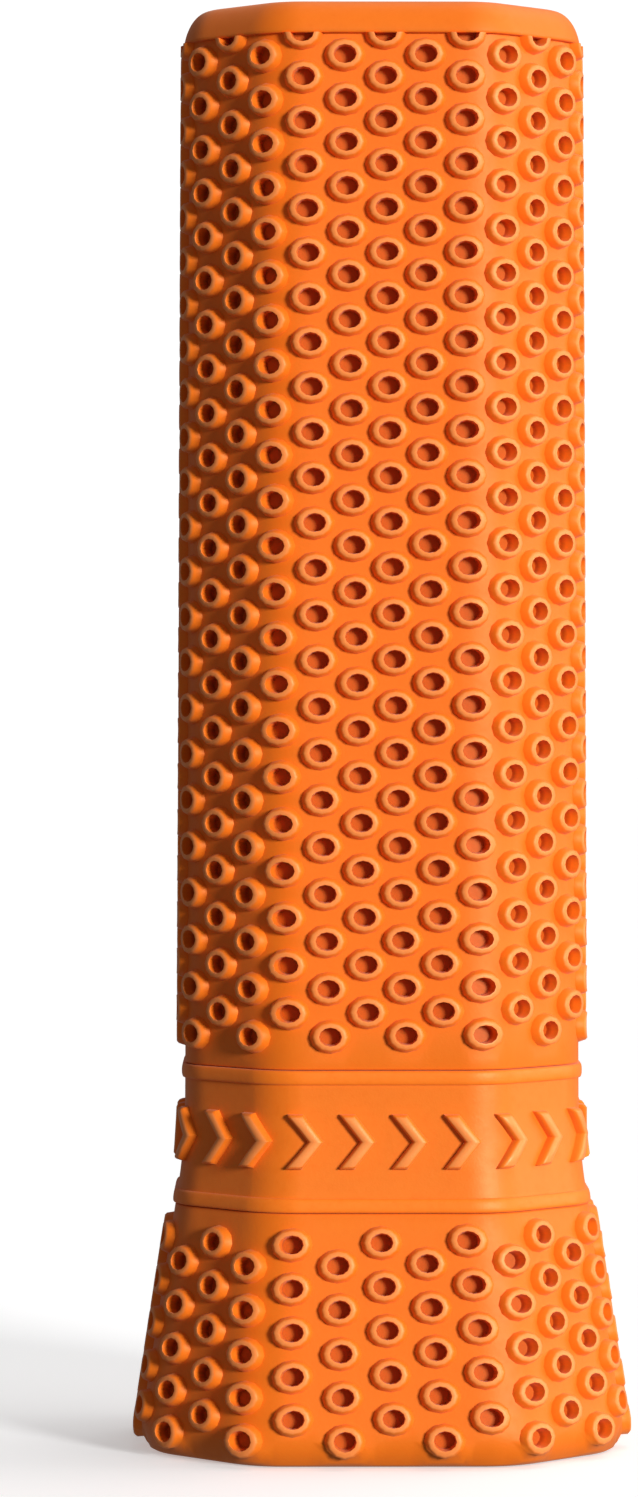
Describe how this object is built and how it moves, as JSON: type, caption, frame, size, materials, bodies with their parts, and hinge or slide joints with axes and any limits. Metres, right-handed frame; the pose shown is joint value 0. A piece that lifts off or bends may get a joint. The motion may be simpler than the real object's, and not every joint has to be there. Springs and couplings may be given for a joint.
{
  "type": "handle grip sleeve",
  "caption": "Slide-on elastomer sleeve for a racket handle: octagonal bore, nubbed barrel, banded waist and a flared foot with an inner lip.",
  "frame": {"origin": "middle of the foot, on the surface that the sleeve stands on", "axes": "+Z along the handle from the flared foot to the mouth, X across the wider pair of flats, Y across the narrower pair, -Y the front"},
  "size_m": [0.0438, 0.0372, 0.126],
  "materials": {
    "grip_sleeve": "satin orange elastomer",
    "waist_band": "smooth satin orange elastomer"
  },
  "bodies": {
    "root": {"grip_sleeve": "grip_sleeve", "waist_band": "waist_band"}
  },
  "joints": []
}
